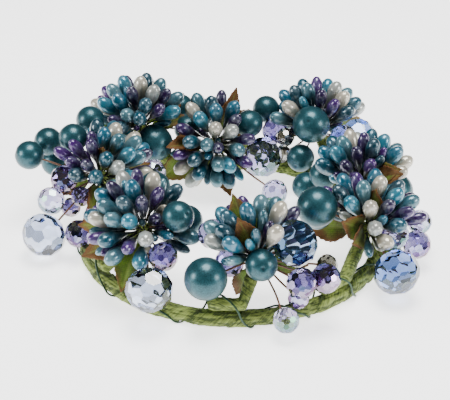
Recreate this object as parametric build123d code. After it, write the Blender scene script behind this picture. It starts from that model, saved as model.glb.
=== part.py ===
from build123d import *
import math
import os

# A candle ring, in millimetres, +Z up. The origin is the middle of the ring, on the surface that it rests on.
# A wire hoop is wrapped in paper strip. Eight sprays are bound along it with thin wire. Each spray is a taped
# stem with a head, and pearls, cut crystals, leaves and stamens spread from the head on wires and threads.

# Hoop and its paper wrap
ring_radius = 60.0
hoop_wire_radius = 1.2
hoop_sides = 4
wrap_radius = 3.6
wrap_ridge = 0.25
wrap_turns = 24
wrap_sides = 10
wrap_slant = 1.5
rest_cut = 0.5
hoop_clearance = 0.1
loft_quarters = 4

# Binding wire
binding_radius = 0.4
binding_sides = 5
binding_gap = 0.12
binding_lift = 0.05
notch_gap = 0.15
notch_overrun = 1.0
loop_stations = 8
loop_crown = 2.5
loop_shoulder_share = 0.6
loop_top_share = 0.4
loop_side_share = 0.1

# Sprays
spray_reach = 30.0
spray_height = 40.0
stem_radius = 2.8
stem_tip_radius = 1.6
stem_neck_radius = 1.8
stem_shoulder_share = 0.15
stem_sides = 8
stem_foot = 13.0
stem_seat_gap = 0.12
head_radius = 3.3
head_sides = 10

# Pearls, crystals and their wires
small_pearl_radius = 6.0
large_pearl_radius = 8.0
pearl_sides = 10
small_crystal_radius = 3.5
round_crystal_radius = 5.0
large_crystal_radius = 8.0
small_crystal_sides = 6
crystal_sides = 8
pick_wire_radius = 0.4
pick_wire_sides = 4
pick_gap = 0.15
bead_flat_angle = 72.0
bead_ring_shares = (-1, -0.5, 0, 0.5, 1)

# How the crystals are cut: each tier of facets has its angle up from level and its share of the radius
little_cut_shares = [(0, 0.95), (42, 0.98), (-42, 0.98)]
round_cut_shares = [(0, 0.95), (40, 0.97), (-40, 0.97)]
large_cut_shares = [(0, 0.97), (38, 0.96), (-38, 0.96)]

# Leaves
leaf_length = 24.0
leaf_half_width = 6.5
leaf_stalk = 3.0
leaf_stalk_half_width = 0.5
leaf_thickness = 0.5
leaf_tooth = 0.8
leaf_teeth = 5
leaf_fold_angle = 14.0
leaf_outline_power = 0.8

# Strips that stand for a leaf when room is looked for: the share of its half width, and the share of its length
# that is left free at each end
leaf_strip_shares = [
    (-0.9, 0.34), (-0.6, 0.23), (-0.3, 0.16), (0, 0.02), (0.3, 0.16), (0.6, 0.23), (0.9, 0.34),
]

# Stamens
stamen_length = 21.0
middle_stamen_length = 17.5
short_stamen_length = 14.0
stamen_head_length = 9.5
stamen_head_radius = 2.5
violet_head_radius = 2.1
stamen_neck_radius = 0.45
stamen_thread_radius = 0.35
stamen_sides = 5
stamen_places = 33
stamen_spread_angle = 70.0
stamen_turn_angle = 137.5
stamen_gap = 0.12
stamen_widest_share = 0.62
stamen_tip_share = 0.52
stamen_colours = {"b": "blue", "v": "violet", "i": "ivory"}
stamen_colour_order = [stamen_colours[letter] for letter in "bvbibvbbivb"]

# Tests: how far off flat a facet may be, and the share of a unit length below which a wire counts as upright
flat_enough = 1e-7
upright_share = 0.01

tube_height = wrap_radius * math.cos(math.pi / wrap_sides) - rest_cut
wrap_top = tube_height + wrap_radius * math.cos(math.pi / wrap_sides)
stem_flat = stem_radius * math.cos(math.pi / stem_sides)
stem_level = wrap_top + stem_seat_gap + stem_flat
foot_angle = math.degrees(stem_foot / ring_radius)
stamen_lengths = [stamen_length, middle_stamen_length, short_stamen_length]

# Each place is an angle round the ring in degrees, then two shares: of the spray's reach, outwards from the
# hoop, and of the spray's height, upwards. A stem starts "back" degrees before its head. A bunch leans by an
# angle towards a direction. A leaf has its direction, its angle from upright, its twist and its length.
spray_shares = [
    {
        "head": (13, -0.20, 0.45), "back": 26, "lean": (60, 18),
        "pearls": [(10, 0.25, 0.40, "large"), (26, -0.60, 0.50, "small"), (40, -0.65, 0.25, "small")],
        "crystals": [(40, 0.05, 0.65, "round")],
        "leaves": [(310, 55, 60, 0.9)],
    },
    {
        "head": (57, 0.25, 0.50), "back": 28, "lean": (90, 12),
        "pearls": [(53, -0.15, 0.75, "large"), (54, -0.35, 0.40, "small")],
        "crystals": [(43, 0.45, 0.50, "large"), (71, -0.10, 0.55, "round"), (63, -0.35, 0.60, "little"),
                     (67, -0.15, 0.30, "little")],
        "leaves": [(35, 95, 50, 0.9), (115, 80, -30, 0.8), (40, 140, 80, 0.75)],
    },
    {
        "head": (99, -0.35, 0.45), "back": 22, "lean": (255, 55),
        "pearls": [(99, -0.05, 0.75, "small"), (82, -0.35, 0.70, "small"), (77, 0.15, 0.70, "small")],
        "crystals": [(74, -0.50, 0.37, "large"), (58, -0.90, 0.15, "round"), (101, 0.40, 0.50, "little")],
        "leaves": [(200, 115, -50, 1.0), (290, 130, 20, 0.8), (50, 71, 70, 0.8)],
    },
    {
        "head": (128, 0.20, 0.60), "back": 20, "lean": (150, 10),
        "pearls": [(109, 0.40, 0.65, "small"), (111, -0.15, 0.60, "small"), (129, -0.20, 0.55, "large")],
        "crystals": [(142, 0.50, 0.40, "little")],
        "leaves": [(200, 90, -60, 0.9), (229, 120, 30, 0.8), (30, 63, 50, 0.8)],
    },
    {
        "head": (164, -0.10, 0.50), "back": 22, "lean": (300, 12),
        "pearls": [(169, 0.85, 0.75, "small"), (160, 0.75, 0.75, "small"), (157, 0.75, 0.45, "small"),
                   (163, 0.30, 0.90, "small"), (149, 0.35, 0.90, "small")],
        "crystals": [(174, 0.30, 0.60, "round"), (180, 0.45, 0.45, "round"), (190, 0.55, 0.25, "large"),
                     (194, 0.10, 0.30, "round"), (173, 0.25, 0.25, "little"), (180, 0.05, 0.50, "little"),
                     (142, -0.55, 0.40, "round")],
        "leaves": [(290, 115, 10, 1.0), (180, 105, -60, 0.7), (56, 100, 70, 0.8)],
    },
    {
        "head": (223, -0.45, 0.60), "back": 20, "lean": (270, 40),
        "pearls": [(213, -0.80, 0.90, "small"), (244, -0.45, 0.90, "small"), (241, -0.80, 0.70, "small")],
        "crystals": [(241, -0.20, 0.55, "round"), (243, 0.25, 0.40, "large")],
        "leaves": [(250, 118, -40, 0.9), (172, 90, -40, 0.85)],
    },
    {
        "head": (281, -0.35, 0.55), "back": 20, "lean": (90, 10),
        "pearls": [(261, 0.10, 0.55, "large"), (280, 0.00, 0.65, "small"), (286, -0.65, 0.60, "small")],
        "crystals": [(260, -0.60, 0.70, "round"), (269, -0.40, 0.50, "round"), (294, -0.15, 0.75, "large"),
                     (291, 0.30, 0.55, "round"), (300, 0.25, 0.50, "round"), (286, 0.35, 0.20, "round"),
                     (292, 0.15, 0.30, "little"), (307, -0.05, 0.45, "little")],
        "leaves": [(219, 25, -100, 0.75), (20, 110, 60, 0.7), (150, 155, -80, 0.7)],
    },
    {
        "head": (341, -0.15, 0.40), "back": 38, "lean": (340, 22),
        "pearls": [(323, -0.65, 0.75, "large"), (338, -0.80, 0.50, "small")],
        "crystals": [(345, 0.50, 0.25, "round"), (326, 0.50, 0.30, "large"), (338, 0.25, 0.45, "round"),
                     (353, 0.50, 0.35, "round")],
        "leaves": [(150, 105, -50, 0.9), (320, 120, 0, 0.75), (238, 57, -40, 0.8)],
    },
]


def direction_of(turn, lean):
    """A unit vector that leans from upright by an angle, towards a direction round the ring's axis."""
    across = math.sin(math.radians(lean))
    return Vector(
        across * math.cos(math.radians(turn)), across * math.sin(math.radians(turn)), math.cos(math.radians(lean))
    )


def ring_point(around, out, up):
    """A point by its angle round the ring, its distance out from the hoop's centreline and its height."""
    reach = ring_radius + out
    return Vector(reach * math.cos(math.radians(around)), reach * math.sin(math.radians(around)), up)


def spray_point(place_shares):
    """A spray's place, given as an angle and two shares, as a point."""
    return ring_point(place_shares[0], place_shares[1] * spray_reach, place_shares[2] * spray_height)


class Rod:
    """A round-ended rod, which stands for a bead, a wire, a blade's strip or a stamen when room is looked for."""

    def __init__(self, start, end, radius):
        self.start = start
        self.along = end - start
        self.radius = radius
        self.middle = (start + end) / 2
        self.reach = self.along.length / 2 + radius

    def is_clear_of(self, other, gap):
        far = (self.middle - other.middle).length - self.reach - other.reach
        return far > gap or rod_gap(self, other) > gap


def rod_gap(first, second):
    """The least gap between two rods."""
    between = first.start - second.start
    aa, bb, ab = first.along.dot(first.along), second.along.dot(second.along), first.along.dot(second.along)
    ac, bc = first.along.dot(between), second.along.dot(between)
    spread = aa * bb - ab * ab
    part = min(max((ab * bc - bb * ac) / spread, 0), 1) if spread > 0 else 0
    other_part = (ab * part + bc) / bb if bb > 0 else 0
    other_part = min(max(other_part, 0), 1)
    part = min(max((ab * other_part - ac) / aa, 0), 1) if aa > 0 else 0
    apart = between + first.along * part - second.along * other_part
    return apart.length - first.radius - second.radius


bead_radius = {
    "large": large_crystal_radius,
    "round": round_crystal_radius,
    "little": small_crystal_radius,
    "large_pearl": large_pearl_radius,
    "small_pearl": small_pearl_radius,
}


class Bead:
    """A pearl or crystal on a straight wire from the head of its spray."""

    def __init__(self, head, place_shares, kind):
        self.kind = kind
        self.centre = spray_point(place_shares)
        self.axis = (self.centre - head).normalized()
        self.radius = bead_radius[kind]
        flat = self.radius * math.sin(math.radians(bead_flat_angle))
        self.wire_start = head + self.axis * (head_radius + pick_gap)
        self.wire_end = self.centre - self.axis * flat

    def rods(self):
        return [
            Rod(self.centre, self.centre, self.radius),
            Rod(self.wire_start, self.wire_end, pick_wire_radius),
        ]


class Leaf:
    """A folded leaf on a short stalk, which starts at the head of its spray."""

    def __init__(self, head, turn, lean, twist, size_share):
        along = direction_of(turn, lean)
        level = direction_of(turn + 90, 90)
        face = along.cross(level).normalized()
        across = level * math.cos(math.radians(twist)) + face * math.sin(math.radians(twist))
        self.size_share = size_share
        self.plane = Plane(origin=head + along * (head_radius + pick_gap), x_dir=along, z_dir=along.cross(across))

    def rods(self):
        reach = (leaf_length + leaf_stalk) * self.size_share
        rods = []
        for side_share, margin_share in leaf_strip_shares:
            side = side_share * leaf_half_width * self.size_share
            lift = abs(side) * math.tan(math.radians(leaf_fold_angle))
            ends = [
                self.plane.from_local_coords(Vector(reach * share, side, lift))
                for share in (margin_share, 1 - margin_share)
            ]
            rods.append(Rod(ends[0], ends[1], leaf_thickness))
        return rods


class Stamen:
    """A stamen: a thread from the head of its spray, which swells to a drop at its far end."""

    def __init__(self, head, along, length, colour):
        self.along = along
        self.start = head + along * (head_radius + pick_gap)
        self.length = length
        self.colour = colour
        self.radius = violet_head_radius if colour == "violet" else stamen_head_radius

    def rods(self):
        tip = self.start + self.along * (self.length - self.radius)
        root = self.start + self.along * (self.length - stamen_head_length * stamen_widest_share)
        return [
            Rod(self.start, root, stamen_neck_radius),
            Rod(root, tip, self.radius),
        ]


class Spray:
    """The places of everything on one spray."""

    def __init__(self, shares):
        self.head = spray_point(shares["head"])
        self.around = shares["head"][0]
        self.foot_start = self.around - shares["back"]
        self.axis = direction_of(*shares["lean"])
        self.pearls = [Bead(self.head, row[:3], row[3] + "_pearl") for row in shares["pearls"]]
        self.crystals = [Bead(self.head, row[:3], row[3]) for row in shares["crystals"]]
        self.leaves = [Leaf(self.head, *row) for row in shares["leaves"]]
        self.stamens = []

    def stem_points(self):
        """The stem lies along the ring for its foot, then rises in one bend to the head."""
        foot = ring_point(self.foot_start, 0, stem_level)
        lift = ring_point(self.foot_start + foot_angle, 0, stem_level)
        return [foot, lift, (lift + self.head) / 2, self.head]

    def fixed_rods(self):
        """What the stamens keep clear of: the stem, the beads, their wires and the leaves."""
        points = self.stem_points()
        rods = [Rod(start, end, stem_radius) for start, end in zip(points[:2], points[1:3])]
        for item in self.pearls + self.crystals + self.leaves:
            rods += item.rods()
        return rods

    def fill_stamens(self, taken, shift):
        """Spread the stamens over a cap round the bunch's axis, the long ones first, where there is room."""
        cap = Plane(origin=self.head, z_dir=self.axis)
        colours = stamen_colour_order[shift:] + stamen_colour_order[:shift]
        for length in stamen_lengths:
            for place in range(stamen_places):
                lean = stamen_spread_angle * math.sqrt((place + 0.5) / stamen_places)
                local = direction_of(place * stamen_turn_angle, lean)
                along = (cap.from_local_coords(local) - cap.origin).normalized()
                stamen = Stamen(self.head, along, length, colours[len(self.stamens) % len(colours)])
                if all(mine.is_clear_of(other, stamen_gap) for mine in stamen.rods() for other in taken):
                    self.stamens.append(stamen)
                    taken += stamen.rods()


def lay_out():
    """Place every spray, then fill in the stamens where there is room."""
    sprays = [Spray(shares) for shares in spray_shares]
    step = 360 / wrap_turns
    taken = []
    for turn in range(wrap_turns):
        ends = [ring_point((turn + end) * step, 0, tube_height) for end in (0, 1)]
        taken.append(Rod(ends[0], ends[1], wrap_radius + binding_gap + 2 * binding_radius))
    for spray in sprays:
        taken += spray.fixed_rods()
    for number, spray in enumerate(sprays):
        others = [Rod(other.head, other.head, head_radius) for other in sprays if other is not spray]
        taken_here = taken + others
        before = len(taken_here)
        spray.fill_stamens(taken_here, number)
        taken += taken_here[before:]
    return sprays


def square_frame(point, along, across):
    """A plane square to along, with its x direction as near to across as that allows."""
    return Plane(origin=point, x_dir=across - along * across.dot(along), z_dir=along)


def flat_skin(rings):
    """A closed solid of flat facets, which join each ring of corners to the next."""
    faces = [Face(Wire.make_polygon(rings[0])), Face(Wire.make_polygon(rings[-1]))]
    for ring, after in zip(rings, rings[1:]):
        for place, corner in enumerate(ring):
            beside = (place + 1) % len(ring)
            quad = [corner, ring[beside], after[beside], after[place]]
            normal = (quad[1] - quad[0]).cross(quad[3] - quad[0]).normalized()
            if abs(normal.dot(quad[2] - quad[0])) < flat_enough:
                faces.append(Face(Wire.make_polygon(quad)))
            else:
                faces.append(Face(Wire.make_polygon(quad[:3])))
                faces.append(Face(Wire.make_polygon([quad[0], quad[2], quad[3]])))
    return Solid(Shell(faces))


def ring_of_corners(plane, radius, sides, turn=0):
    """The corners of a regular polygon on a plane."""
    angles = [math.radians(turn + 360 * place / sides) for place in range(sides)]
    return [
        plane.from_local_coords(Vector(radius * math.cos(angle), radius * math.sin(angle), 0)) for angle in angles
    ]


def faceted_tube(points, radii, sides, across, turn=0):
    """A tube through points, with a polygon of the given radius at each, square to the path."""
    rings = []
    for place, point in enumerate(points):
        before = points[max(place - 1, 0)]
        after = points[min(place + 1, len(points) - 1)]
        plane = square_frame(point, (after - before).normalized(), across)
        across = plane.x_dir
        rings.append(ring_of_corners(plane, radii[place], sides, turn))
    return flat_skin(rings)


def any_across(along):
    """A direction square to a wire: level where the wire isn't upright."""
    level = Vector(0, 0, 1).cross(along)
    return level.normalized() if level.length > upright_share else Vector(1, 0, 0)


def upright_stack(heights, radii, sides):
    """A faceted solid with polygons of the given radii at the given heights."""
    return flat_skin(
        [ring_of_corners(Plane.XY.offset(height), radius, sides) for height, radius in zip(heights, radii)]
    )


def make_pearl(radius, sides):
    """A round bead with a small flat at each end, where its hole is."""
    angles = [math.radians(bead_flat_angle * share) for share in bead_ring_shares]
    heights = [radius * math.sin(angle) for angle in angles]
    radii = [radius * math.cos(angle) for angle in angles]
    return upright_stack(heights, radii, sides)


def make_crystal(radius, sides, tiers):
    """A bead cut by flat facets: each tier has its angle up from level and its share of the radius."""
    flat = radius * math.sin(math.radians(bead_flat_angle))
    stone = Box(2 * radius, 2 * radius, 2 * flat).solid()
    for tier, (rise, depth_share) in enumerate(tiers):
        for place in range(sides):
            turn = (place + tier / 2) * 360 / sides
            away = direction_of(turn, 90 - rise)
            facet = Plane(origin=away * radius * depth_share, z_dir=away)
            stone = stone.split(facet, keep=Keep.BOTTOM)
    return stone


def make_leaf(size_share):
    """A leaf with toothed edges, in two half blades that are folded up along the midrib."""
    length = leaf_length * size_share
    half_width = leaf_half_width * size_share
    stalk = leaf_stalk * size_share
    edge = [(0, 0), (0, leaf_stalk_half_width), (stalk, leaf_stalk_half_width)]
    for tooth in range(1, leaf_teeth + 1):
        share = tooth / (leaf_teeth + 1)
        bulge = half_width * math.sin(math.pi * share ** leaf_outline_power)
        edge.append((stalk + length * share, bulge))
        edge.append((stalk + length * share, bulge - leaf_tooth * size_share))
    edge.append((stalk + length, 0))
    blade = extrude(make_face(Polyline(*edge, close=True)), amount=leaf_thickness)
    blade = blade.rotate(Axis.X, leaf_fold_angle)
    return (blade + blade.mirror(Plane.XZ)).solid()


def make_stamen(length, head_width_radius):
    """A thread that swells to a drop. It stands on the origin and points up."""
    root = length - stamen_head_length
    widest = length - stamen_head_length * (1 - stamen_widest_share)
    heights = [0, root, widest, length]
    radii = [stamen_thread_radius, stamen_neck_radius, head_width_radius, head_width_radius * stamen_tip_share]
    return upright_stack(heights, radii, stamen_sides)


def ring_section(around, radius, sides, slant):
    """A polygon square to the hoop, with its flats level, slanted about the line that runs outwards."""
    out = direction_of(around, 90)
    along = direction_of(around + 90, 90)
    up = Vector(0, 0, 1)
    tilted = (along + up * slant / wrap_radius).normalized()
    plane = Plane(origin=ring_point(around, 0, tube_height), x_dir=out, z_dir=tilted)
    return plane * RegularPolygon(radius, sides)


def closed_tube(turn_radii, sides, slant):
    """A tube round the whole ring, made in quarters. Each turn goes through the given radii, evenly spaced."""
    quarter_turns = wrap_turns // loft_quarters
    step = 360 / (wrap_turns * (len(turn_radii) - 1))
    solids = []
    for quarter in range(loft_quarters):
        sections = []
        for turn in range(quarter * quarter_turns, (quarter + 1) * quarter_turns):
            for place, radius in enumerate(turn_radii):
                around = (turn * (len(turn_radii) - 1) + place) * step
                if place > 0 or not sections or turn_radii[0] != turn_radii[-1]:
                    sections.append(ring_section(around, radius, sides, slant))
        solids.append(loft(sections, ruled=True).solid())
    return solids[0].fuse(*solids[1:])


def make_hoop():
    """The wire hoop inside the wrap."""
    return closed_tube([hoop_wire_radius] * 3, hoop_sides, 0)


def binding_points(sprays):
    """The route of the binding wire: one loop over the foot of each stem, and one between each two feet."""
    feet = [spray.foot_start + foot_angle / 2 for spray in sprays]
    crossings = []
    for foot, after in zip(feet, feet[1:] + [feet[0] + 360]):
        crossings.append((foot, True))
        crossings.append(((foot + after) / 2, False))
    skin = wrap_radius * math.cos(math.pi / wrap_sides)
    clear = binding_gap + binding_radius
    low = binding_lift + binding_radius - tube_height
    points = []
    for place, (around, over_stem) in enumerate(crossings):
        before = crossings[place - 1][0] - (360 if place == 0 else 0)
        after = crossings[place + 1][0] if place + 1 < len(crossings) else feet[0] + 360
        top = stem_level + stem_flat - tube_height if over_stem else skin
        shoulder = top - stem_radius * loop_shoulder_share if over_stem else skin * loop_shoulder_share
        half_top = stem_radius * loop_shoulder_share if over_stem else wrap_radius * loop_top_share
        profile = [
            (-wrap_radius - clear, skin * loop_side_share),
            (-wrap_radius - clear / 2, shoulder),
            (-half_top, top + clear),
            (half_top, top + clear),
            (wrap_radius + clear / 2, shoulder),
            (wrap_radius + clear, skin * loop_side_share),
            (wrap_radius - clear / 2, low),
            (-wrap_radius + clear / 2, low),
        ]
        for station, (out, up) in enumerate(profile):
            share = (station - loop_crown) / loop_stations
            pitch = around - before if share < 0 else after - around
            points.append(ring_point(around + pitch * share, out, tube_height + up))
    return points


def make_binding(points):
    """The binding wire, one unbroken tube, which stops short of its own start."""
    radii = [binding_radius] * len(points)
    return faceted_tube(points, radii, binding_sides, Vector(0, 0, 1))


def least_wire_gap(points):
    """The least gap between the binding wire's runs that aren't neighbours, measured on points."""
    gaps = []
    for place, point in enumerate(points):
        for other in points[place + loop_stations // 2:]:
            gaps.append((point - other).length - 2 * binding_radius)
    return min(gaps)


def make_wrap(points):
    """The paper wrap, with the hoop's bore, the flat underside and a groove for each pass of the wire."""
    radii = [wrap_radius, wrap_radius - wrap_ridge / 2, wrap_radius - wrap_ridge]
    wrap = closed_tube(radii, wrap_sides, wrap_slant)
    wrap = wrap - closed_tube([hoop_wire_radius + hoop_clearance] * 3, hoop_sides, 0)
    span = 2 * (ring_radius + 2 * wrap_radius)
    wrap = wrap - Pos(0, 0, -wrap_radius) * Box(span, span, 2 * wrap_radius)
    groove_top = binding_lift + 2 * binding_radius + notch_gap
    grooves = []
    for place in range(loop_stations - 2, len(points), loop_stations):
        start, end = points[place], points[place + 1]
        middle = (start + end) / 2
        plane = Plane(origin=(middle.X, middle.Y, 0), x_dir=end - start, z_dir=(0, 0, 1))
        length = (end - start).length + 2 * notch_overrun
        groove = Box(length, 2 * (binding_radius + notch_gap), 2 * groove_top)
        grooves.append(plane * groove)
    return wrap - grooves


def make_stem(spray):
    """A taped stem: its foot lies on the wrap, and its head gathers the wires."""
    foot, lift, middle, head = spray.stem_points()
    along = (head - middle).normalized()
    points = [foot, foot + (lift - foot) * stem_shoulder_share, lift, middle, head - along * head_radius / 2]
    radii = [stem_tip_radius, stem_radius, stem_radius, stem_radius, stem_neck_radius]
    stem = faceted_tube(points, radii, stem_sides, Vector(0, 0, 1), 180 / stem_sides)
    return stem.fuse(set_on(make_pearl(head_radius, head_sides), head, along))


def set_on(shape, point, along):
    """A copy of a shape that stands on the origin, put at a point with its axis along a direction."""
    return shape.moved(Location(square_frame(point, along, any_across(along))))


def save(name, solids):
    """Write one node."""
    export_step(solids[0] if len(solids) == 1 else Compound(solids), f"parts/{name}.step")


def main():
    os.makedirs("parts", exist_ok=True)
    sprays = lay_out()
    route = binding_points(sprays)
    print("least gap of the binding wire to itself:", round(least_wire_gap(route), 2), "mm")
    save("hoop_wire", [make_hoop()])
    save("paper_wrap", [make_wrap(route)])
    save("binding_wire", [make_binding(route)])
    beads = {
        "small_pearl": make_pearl(small_pearl_radius, pearl_sides),
        "large_pearl": make_pearl(large_pearl_radius, pearl_sides),
        "little": make_crystal(small_crystal_radius, small_crystal_sides, little_cut_shares),
        "round": make_crystal(round_crystal_radius, crystal_sides, round_cut_shares),
        "large": make_crystal(large_crystal_radius, crystal_sides, large_cut_shares),
    }
    drops = {
        (length, radius): make_stamen(length, radius)
        for length in stamen_lengths
        for radius in (stamen_head_radius, violet_head_radius)
    }
    wires = []
    for number, spray in enumerate(sprays, 1):
        save(f"spray_{number}_stem", [make_stem(spray)])
        for group in ("pearls", "crystals"):
            solids = [set_on(beads[bead.kind], bead.centre, bead.axis) for bead in getattr(spray, group)]
            save(f"spray_{number}_{group}", solids)
        save(
            f"spray_{number}_leaves",
            [make_leaf(leaf.size_share).moved(Location(leaf.plane)) for leaf in spray.leaves],
        )
        for colour in stamen_colours.values():
            solids = [
                set_on(drops[stamen.length, stamen.radius], stamen.start, stamen.along)
                for stamen in spray.stamens
                if stamen.colour == colour
            ]
            save(f"spray_{number}_{colour}_stamens", solids)
        for bead in spray.pearls + spray.crystals:
            ends = [bead.wire_start, bead.wire_end]
            wires.append(faceted_tube(ends, [pick_wire_radius] * 2, pick_wire_sides, any_across(bead.axis)))
    save("pick_wires", wires)


main()
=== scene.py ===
import math

import bmesh
import bpy
from bpy.props import FloatProperty, FloatVectorProperty, IntProperty, PointerProperty
from mathutils import Matrix, Vector, kdtree, noise


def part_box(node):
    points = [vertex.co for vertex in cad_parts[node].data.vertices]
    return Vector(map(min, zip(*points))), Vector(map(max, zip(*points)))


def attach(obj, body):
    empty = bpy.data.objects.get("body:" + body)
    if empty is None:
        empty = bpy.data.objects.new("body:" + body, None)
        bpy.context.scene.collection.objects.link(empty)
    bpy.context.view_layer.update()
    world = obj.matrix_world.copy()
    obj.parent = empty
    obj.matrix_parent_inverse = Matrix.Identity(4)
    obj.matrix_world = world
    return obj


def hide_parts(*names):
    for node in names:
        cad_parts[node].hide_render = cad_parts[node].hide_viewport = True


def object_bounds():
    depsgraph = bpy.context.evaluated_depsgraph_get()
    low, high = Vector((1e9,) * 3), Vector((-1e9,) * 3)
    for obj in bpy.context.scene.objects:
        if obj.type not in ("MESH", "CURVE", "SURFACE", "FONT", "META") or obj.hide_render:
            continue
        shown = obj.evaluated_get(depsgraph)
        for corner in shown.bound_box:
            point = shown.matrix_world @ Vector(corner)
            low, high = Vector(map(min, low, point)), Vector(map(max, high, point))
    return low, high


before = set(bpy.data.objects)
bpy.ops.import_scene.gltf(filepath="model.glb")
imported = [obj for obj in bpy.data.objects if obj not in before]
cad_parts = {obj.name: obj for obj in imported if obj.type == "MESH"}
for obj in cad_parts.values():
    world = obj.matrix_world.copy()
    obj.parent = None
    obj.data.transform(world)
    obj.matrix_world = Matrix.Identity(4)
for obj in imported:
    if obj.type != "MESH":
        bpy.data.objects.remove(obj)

bl_info = {
    "name": "Candle ring",
    "version": (1, 0, 0),
    "blender": (4, 5, 0),
    "location": "3D View > Sidebar > Candle ring",
    "description": "Dresses a paper-wrapped candle ring with pearls, cut crystals, leaves and stamens",
    "category": "Object",
}

CAD_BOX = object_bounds()
WRAP_LOW, WRAP_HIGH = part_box("paper_wrap")
SPRAYS = range(1, 9)
MM = 0.001
UPRIGHT = Vector((0, 0, 1))
GOLDEN_ANGLE = math.radians(137.508)

# Corners nearer than MERGE are one in a copy of a CAD mesh, and nearer than SEAM where a spin closes.
# Facets that lean less than FLAT to each other are one, and a corner within ON_CUT of a cut lies on it.
MERGE = 0.002 * MM
SEAM = 0.0001 * MM
ON_CUT = 0.00001 * MM
FLAT = math.radians(0.5)


def linear(code):
    """An sRGB hex value as linear colour."""
    shares = [int(code[place:place + 2], 16) / 255 for place in (1, 3, 5)]
    return tuple(((share + 0.055) / 1.055) ** 2.4 if share > 0.04045 else share / 12.92
                 for share in shares) + (1.0,)


def colour(name, text, code):
    return FloatVectorProperty(
        name=name, description=text, size=4, subtype="COLOR", min=0.0, max=1.0, default=linear(code)
    )


def length(name, text, metres):
    return FloatProperty(
        name=name, description=text, default=metres, min=0.0, unit="LENGTH", subtype="DISTANCE"
    )


class CandleRingSizes(bpy.types.PropertyGroup):
    """Sizes of the ring's visible detail"""
    wrap_radius: length("Wrap radius", "Radius of the paper-wrapped hoop", 3.6 * MM)
    strip_ridge: length("Strip edge", "Height of the paper strip's edge over the turn below it", 0.35 * MM)
    crease_depth: length("Crease depth", "Depth of the paper's lengthwise creases", 0.65 * MM)
    strip_turns: IntProperty(name="Strip turns", description="Turns of the strip round the hoop", default=24)
    binding_radius: length("Binding wire radius", "Radius of the green binding wire", 0.4 * MM)
    pick_radius: length("Pick wire radius", "Radius of the brown wires of the beads", 0.4 * MM)
    tape_crease: length("Tape crease", "Depth of the creases in the tape of the stems", 0.35 * MM)
    dimple: length("Pearl dimple", "Depth of the dimple round a pearl's hole", 0.5 * MM)
    leaf_thickness: length("Leaf thickness", "Thickness of the leaf cloth", 0.35 * MM)
    leaf_arch: length("Leaf arch", "How far the middle of a leaf bows", 1.0 * MM)
    weave: length("Thread spacing", "Spacing of the leaf cloth's threads, drawn coarser to show", 0.8 * MM)


class CandleRingColours(bpy.types.PropertyGroup):
    """Colours of the ring"""
    paper: colour("Paper", "Sage green crepe paper", "#96A84C")
    # painted shade: the colour the paper takes in its creases, by its strip edges and between its crinkles
    paper_painted_shade: colour("Paper in its creases", "The paper where it is folded", "#3C4C10")
    binding: colour("Binding wire", "Dark green lacquer", "#0F3519")
    pick: colour("Pick wire", "Brown covered wire", "#6B4A36")
    pearl: colour("Pearl", "Dark teal pearlised coating", "#0C353C")
    pearl_light: colour("Pearl sheen", "Lighter fleck of the pearlised coating", "#34727D")
    leaf: colour("Leaf", "Green of the leaf cloth near its stalk", "#6A8A16")
    leaf_dark: colour("Leaf shade", "Dark olive of the leaf cloth", "#39440A")
    leaf_rust: colour("Leaf tip", "Rust colour of the leaf's tip and edges", "#643C04")


# Shapes that are read from the CAD's nodes

def merged(node):
    """A copy of a CAD node's mesh with its corners merged and its flat facets whole."""
    bm = bmesh.new()
    bm.from_mesh(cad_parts[node].data)
    bmesh.ops.remove_doubles(bm, verts=bm.verts[:], dist=MERGE)
    bmesh.ops.dissolve_limit(bm, angle_limit=FLAT, verts=bm.verts[:], edges=bm.edges[:])
    return bm


def islands(bm):
    """The loose parts of a mesh, each as a list of vertices."""
    found = []
    seen = set()
    for first in bm.verts:
        if first in seen:
            continue
        seen.add(first)
        island = [first]
        for vertex in island:
            for edge in vertex.link_edges:
                other = edge.other_vert(vertex)
                if other not in seen:
                    seen.add(other)
                    island.append(other)
        found.append(island)
    return found


def faces_of(verts):
    """The faces that meet some vertices, each once, in the order of the vertices."""
    return list(dict.fromkeys(face for vertex in verts for face in vertex.link_faces))


def middle(points):
    return sum(points, Vector()) / len(points)


def routes(node):
    """The middle line of each tube in a node, found by walking its rings from the smaller end face."""
    bm = merged(node)
    lines = []
    for island in islands(bm):
        ring = list(min(faces_of(island), key=lambda face: face.calc_area()).verts)
        seen = set(ring)
        line = []
        while ring:
            line.append(middle([vertex.co for vertex in ring]))
            beside = dict.fromkeys(edge.other_vert(vertex) for vertex in ring for edge in vertex.link_edges)
            ring = [vertex for vertex in beside if vertex not in seen]
            seen.update(ring)
        lines.append(line)
    bm.free()
    return lines


def spans(node):
    """Each loose part's points, and its two ends, which are its points that lie furthest apart."""
    bm = merged(node)
    found = []
    for island in islands(bm):
        points = [vertex.co.copy() for vertex in island]
        start = max(points, key=lambda point: (point - points[0]).length)
        end = max(points, key=lambda point: (point - start).length)
        found.append((points, start, end))
    bm.free()
    return found


def off_axis(points, start, end):
    """The greatest distance of the points from the line between two ends."""
    along = (end - start).normalized()
    return max(((point - start) - along * (point - start).dot(along)).length for point in points)


# Directions and places

def bearing(around, rise=0.0):
    """The direction at an angle round the ring's axis and an angle up from level."""
    return Vector((math.cos(around) * math.cos(rise), math.sin(around) * math.cos(rise), math.sin(rise)))


def leaning(around, lean):
    """The direction at an angle round the ring's axis and an angle down from upright."""
    return Vector((math.cos(around) * math.sin(lean), math.sin(around) * math.sin(lean), math.cos(lean)))


def stand(origin, along, up):
    """A matrix that puts a shape's Z axis along a direction, with its Y axis near to up."""
    along = along.normalized()
    side = up.cross(along)
    nearly_parallel = 1e-6
    if side.length < nearly_parallel:
        side = Vector((1, 0, 0)).cross(along)
    side.normalize()
    return Matrix.Translation(origin) @ Matrix((side, along.cross(side), along)).transposed().to_4x4()


# Meshes and objects

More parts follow.
